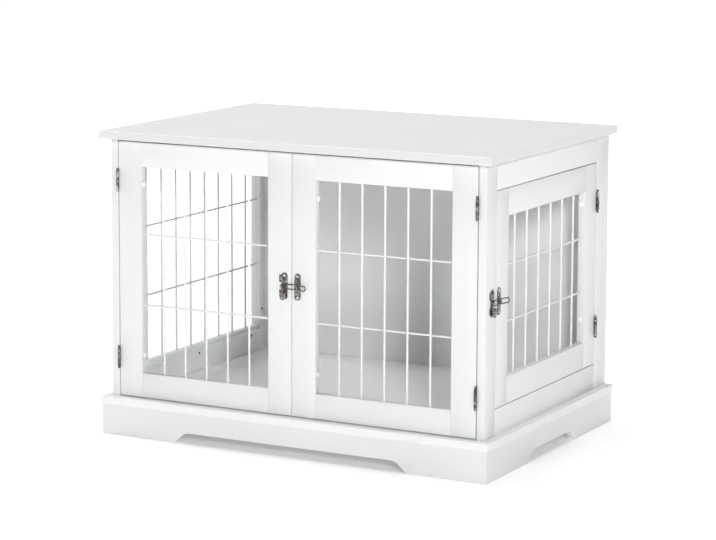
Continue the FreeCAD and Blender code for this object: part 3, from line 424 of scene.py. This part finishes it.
def makeFloor():
    material, tree, shader = newMaterial("paleFloor")
    flat = stretched(tree, (1, 1, 1))
    tone = ramp(tree, noise(tree, flat, 3, 3), [(0.3, room["floorDark"]), (0.7, room["floorLight"])])
    tree.links.new(tone, shader.inputs["Base Color"])
    shader.inputs["Roughness"].default_value = 0.7
    far = addNode(tree, "ShaderNodeVectorMath", operation="LENGTH")
    tree.links.new(flat, far.inputs[0])
    glow = addNode(tree, "ShaderNodeMapRange", {
        "From Min": room["glowFrom"], "From Max": room["glowTo"],
        "To Min": room["glowNear"], "To Max": room["glowFar"]}, interpolation_type="SMOOTHSTEP")
    tree.links.new(far.outputs["Value"], glow.inputs["Value"])
    tree.links.new(glow.outputs["Result"], shader.inputs["Emission Strength"])
    shader.inputs["Emission Color"].default_value = (1, 1, 1, 1)
    bm = bmesh.new()
    bmesh.ops.create_grid(bm, x_segments=1, y_segments=1, size=room["floorSize"])
    mesh = bpy.data.meshes.new("paleFloor")
    bm.to_mesh(mesh)
    bm.free()
    mesh.materials.append(material)
    floor = bpy.data.objects.new("paleFloor", mesh)
    bpy.context.scene.collection.objects.link(floor)


def makeSky():
    world = bpy.data.worlds.new("studio")
    bpy.context.scene.world = world
    world.use_nodes = True
    tree = world.node_tree
    coords = addNode(tree, "ShaderNodeTexCoord")
    parts = addNode(tree, "ShaderNodeSeparateXYZ")
    tree.links.new(coords.outputs["Generated"], parts.inputs[0])
    tone = addNode(tree, "ShaderNodeMapRange", {
        "From Min": room["fadeFrom"], "From Max": room["fadeTo"],
        "To Min": room["horizon"], "To Max": room["overhead"]})
    tree.links.new(parts.outputs["Z"], tone.inputs["Value"])
    back = tree.nodes["Background"]
    back.inputs["Color"].default_value = (1, 1, 1, 1)
    tree.links.new(tone.outputs["Result"], back.inputs["Strength"])


def makeLamp(name, lamp):
    azimuth, elevation = math.radians(lamp["azimuth"]), math.radians(lamp["elevation"])
    away = Vector((math.sin(azimuth) * math.cos(elevation),
                   -math.cos(azimuth) * math.cos(elevation), math.sin(elevation)))
    data = bpy.data.lights.new(name, "AREA")
    data.shape = "DISK"
    data.size, data.energy = lamp["size"], lamp["power"]
    piece = bpy.data.objects.new(name, data)
    piece.location = lampTarget + away * lamp["distance"]
    piece.rotation_euler = away.to_track_quat("Z", "Y").to_euler()
    bpy.context.scene.collection.objects.link(piece)


makeFloor()
makeSky()
for name, lamp in lamps.items():
    makeLamp(name, lamp)
bpy.context.scene.view_settings.view_transform = "Standard"
print("floor and light made")

# ---- boards: every square board gets softened edges, so its joints show as fine lines

boards = {"edge": 0.0005, "panelEdge": 0.0008, "joint": 0.00025}
boardNodes = [
    "back_panel", "front_header", "left_front_stile", "left_rear_stile", "left_bottom_rail",
    "left_top_rail", "right_front_stile", "right_rear_stile", "right_bottom_rail", "right_top_rail",
]
for door in ("left_door", "right_door", "side_door"):
    boardNodes += [f"{door}_{part}" for part in ("hinge_stile", "lock_stile", "bottom_rail", "top_rail")]

for node in boardNodes:
    low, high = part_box(node)
    long = longAxis(low, high)
    grain = "xyz"[long]
    if node.endswith("_rail"):  # a rail stops just short of its stiles, as a fine open joint
        low[long] += boards["joint"]
        high[long] -= boards["joint"]
    finished(node + "_board", block(low, high, boards["edge"]), [paint[grain]], nodeBody[node],
             [node])

for node, look, slot in (("side_cleats", paint["y"], "white_paint"),
                         ("rear_cleats", paint["z"], "white_paint"),
                         ("corner_blocks", rawWood, "raw_wood")):
    bm = bmesh.new()
    for solid in cadSolids(node):
        join(bm, block(solid["low"], solid["high"], boards["edge"]))
    finished(node + "_boards", bm, [look], nodeBody[node], [node])


def softenedCopy(node, edge):
    bm = bmesh.new()
    bm.from_mesh(nodes[node].data)
    bmesh.ops.remove_doubles(bm, verts=bm.verts, dist=1e-6)
    bmesh.ops.dissolve_limit(bm, angle_limit=math.radians(0.5), verts=bm.verts, edges=bm.edges)
    sharp = [e for e in bm.edges
             if len(e.link_faces) == 2 and e.calc_face_angle() > math.radians(softAngle)]
    bmesh.ops.bevel(bm, geom=sharp, offset=edge, segments=2, profile=0.5, affect="EDGES",
                    material=-1, clamp_overlap=True)
    return bm


for node in ("front_skirt", "back_skirt", "left_skirt", "right_skirt"):
    grain = "x" if node.startswith(("front", "back")) else "y"
    finished(node + "_board", softenedCopy(node, boards["panelEdge"]), [paint[grain]], "cabinet",
             [node])


def dressNode(node, material):
    for slot in nodes[node].material_slots:
        slot.material = material


# the tabletop paint carries a painted shade on the tabletop's edge
dressNode("table_top", tabletopPaint)
# painted light: the floor board gets the lightened copy of the board paint
dressNode("bottom_board", floorBoardPaintedLight)
for node in ("frame_dowels", "left_door_dowels", "right_door_dowels", "side_door_dowels"):
    dressNode(node, rawWood)
print("boards made")

# ---- wire grilles: round wires with a small weld at every crossing

wires = {"around": 14, "radius": 0.002, "weld": 0.0026, "weldScale": 0.85, "reach": 0.006, "tip": 0.0005}


def gridLines(points, axis):
    groups = []
    for place in sorted({round(p[axis], 4) for p in points}):
        if not groups or place - groups[-1][-1] > wires["reach"]:
            groups.append([place])
        else:
            groups[-1].append(place)
    return [(g[0] + g[-1]) / 2 for g in groups]


def makeGrille(node, coat):
    low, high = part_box(node)
    across = 0 if high.x - low.x > high.y - low.y else 1
    deep = 1 - across
    points = [v for solid in cadSolids(node) for v in solid["points"]]
    tips = [v for v in points if v.z > high.z - wires["tip"]]
    sides = [v for v in points if v[across] > high[across] - wires["tip"]]
    uprightDepth = sum((min(v[deep] for v in tips), max(v[deep] for v in tips))) / 2
    levelDepth = sum((min(v[deep] for v in sides), max(v[deep] for v in sides))) / 2
    uprights = gridLines(tips, across)
    levels = gridLines(sides, 2)
    bm = bmesh.new()

    def spot(along, depth, height):
        place = [0, 0, height]
        place[across], place[deep] = along, depth
        return Vector(place)

    for along in uprights:
        join(bm, rod(spot(along, uprightDepth, low.z), spot(along, uprightDepth, high.z),
                     wires["radius"], wires["around"]))
    for height in levels:
        join(bm, rod(spot(low[across], levelDepth, height), spot(high[across], levelDepth, height),
                     wires["radius"], wires["around"]))
        for along in uprights:
            weld = bmesh.new()
            bmesh.ops.create_uvsphere(weld, u_segments=12, v_segments=8, radius=wires["weld"])
            bmesh.ops.scale(weld, vec=[wires["weldScale"]] * 3, verts=weld.verts)
            bmesh.ops.translate(weld, vec=spot(along, (uprightDepth + levelDepth) / 2, height),
                                verts=weld.verts)
            join(bm, weld)
    finished(node + "_wires", bm, [coat], nodeBody[node], [node])
    print(node, len(uprights), "uprights", len(levels), "levels")


for node in ("left_grille", "left_door_grille", "right_door_grille", "side_door_grille"):
    # painted shade: the fixed left grille gets the darkened copy of the wire coat
    makeGrille(node, paintedShadeWire if node == "left_grille" else wirePaint)

# ---- caps on the inner edges of the doors

caps = {"round": 0.0012, "around": 28}


def makeCaps(node):
    bm = bmesh.new()
    for solid in cadSolids(node):
        low, high = solid["low"], solid["high"]
        size = high - low
        thin = min(range(3), key=lambda i: size[i])
        middle = (low + high) / 2
        start, end = middle.copy(), middle.copy()
        start[thin], end[thin] = low[thin], high[thin]
        join(bm, rod(start, end, max(size) / 2, caps["around"], caps["round"]))
    finished(node + "_domed", bm, [capPlastic], nodeBody[node], [node])


for door in ("left_door", "right_door", "side_door"):
    makeCaps(door + "_caps")
print("caps made")

# ---- screws: dome or sunk heads with a cross recess drawn as near-black bars, a painted shade

screws = {
    "around": 20, "domeHigh": 0.0014, "tip": 0.86, "headReach": 0.003,
    "crossWidth": 0.22, "crossLength": 1.1, "crossDeep": 0.0004, "crossEdge": 0.00003, "crossTurn": 20,
    "domeSink": 0.00002, "flatSink": 0.00007,
}


def screwEnds(solid):
    low, high = solid["low"], solid["high"]
    axis = longAxis(low, high)
    others = [i for i in range(3) if i != axis]
    middle = (low + high) / 2

    def widest(place, reach):
        return max(math.hypot(*(p[i] - middle[i] for i in others))
                   for p in solid["points"] if abs(p[axis] - place) < reach)

    wide = {-1: widest(low[axis], screws["headReach"]), 1: widest(high[axis], screws["headReach"])}
    head = 1 if wide[1] > wide[-1] else -1
    out = Vector((0, 0, 0))
    out[axis] = head
    tip, top = middle.copy(), middle.copy()
    top[axis] = high[axis] if head > 0 else low[axis]
    tip[axis] = low[axis] if head > 0 else high[axis]
    domed = widest(top[axis], 0.0001) < wide[head] * 0.9  # a dome's top face is narrower than its rim
    return top, tip, out, wide[head], wide[-head], domed


def makeScrews(node, material):
    bm = bmesh.new()
    for solid in cadSolids(node):
        top, tip, out, head, shank, domed = screwEnds(solid)
        long = (top - tip).length
        high = screws["domeHigh"]
        if domed:
            profile = [(0, 0), (head * 0.42, -0.00008), (head * 0.72, -high * 0.28),
                       (head * 0.93, -high * 0.68), (head, -high), (shank, -high)]
        else:
            profile = [(0, -0.0001), (head * 0.9, -0.0001), (head, -0.0002), (shank, -0.001)]
        profile += [(shank, -long * screws["tip"]), (0, -long)]
        join(bm, turned(profile, top, out, screws["around"]))
        # painted shade: the cross recess is two thin near-black bars set into the head's face
        reach, half = head * screws["crossLength"] / 2, head * screws["crossWidth"] / 2
        sink = screws["domeSink"] if domed else screws["flatSink"]
        place = Matrix.Translation(top - out * sink) @ upTo(out)
        for turn in (0, 90):
            bar = block((-reach, -half, -screws["crossDeep"]), (reach, half, 0), screws["crossEdge"], 1)
            spin = Matrix.Rotation(math.radians(turn + screws["crossTurn"]), 4, "Z")
            bmesh.ops.transform(bar, matrix=place @ spin, verts=bar.verts)
            join(bm, bar, 1)
    finished(node + "_turned", bm, [material, recessShade], nodeBody[node], [node])


for door in ("left_door", "right_door", "side_door"):
    makeScrews(door + "_screws", nickel)
makeScrews("cabinet_screws", darkScrew)
print("screws made")

# ---- hinges and latches

metal = {"leafEdge": 0.00015, "plateEdge": 0.0003, "around": 28}

for node in ("left_door_hinge_leaves", "right_door_hinge_leaves", "side_door_hinge_leaves",
             "frame_hinge_leaves"):
    finished(node + "_rolled", softenedCopy(node, metal["leafEdge"]), [hingePewter], nodeBody[node],
             [node])
for node in ("left_door_latch_plate", "right_door_latch_plate", "side_door_latch_plate",
             "post_latch_plate"):
    finished(node + "_cast", softenedCopy(node, metal["plateEdge"]), [pewter], nodeBody[node],
             [node])
for node in ("front_latch_tongue", "side_latch_tongue"):
    finished(node + "_cast", softenedCopy(node, metal["plateEdge"]), [bronze], nodeBody[node],
             [node])


pins = {
    "shaft": 0.00125, "ring": 0.0017, "ringAbove": 0.0006, "ringBelow": 0.0001, "neck": 0.0003,
    "steps": 9,
}


def makePins():
    bm = bmesh.new()
    for solid in cadSolids("hinge_pins"):
        low, high = solid["low"], solid["high"]
        middle = (low + high) / 2
        ballRadius = (high.x - low.x) / 2
        half = (high.z - low.z) / 2
        top = []
        for step in range(pins["steps"]):
            angle = math.pi * (0.5 - step / (pins["steps"] + 1))
            top.append((ballRadius * math.cos(angle), half - ballRadius + ballRadius * math.sin(angle)))
        base = half - 2 * ballRadius
        top += [(pins["ring"], base + pins["ringAbove"]), (pins["ring"], base - pins["ringBelow"]),
                (pins["shaft"], base - pins["neck"])]
        profile = [(max(r, 0), z) for r, z in top] + [(max(r, 0), -z) for r, z in reversed(top)]
        join(bm, turned(profile, middle, (0, 0, 1), metal["around"]))
    finished("hinge_pins_turned", bm, [hingePewter], "cabinet", ["hinge_pins"])


makePins()
for node in ("front_latch_link", "side_latch_link"):
    dressNode(node, pewter)
print("hinges and latches made")
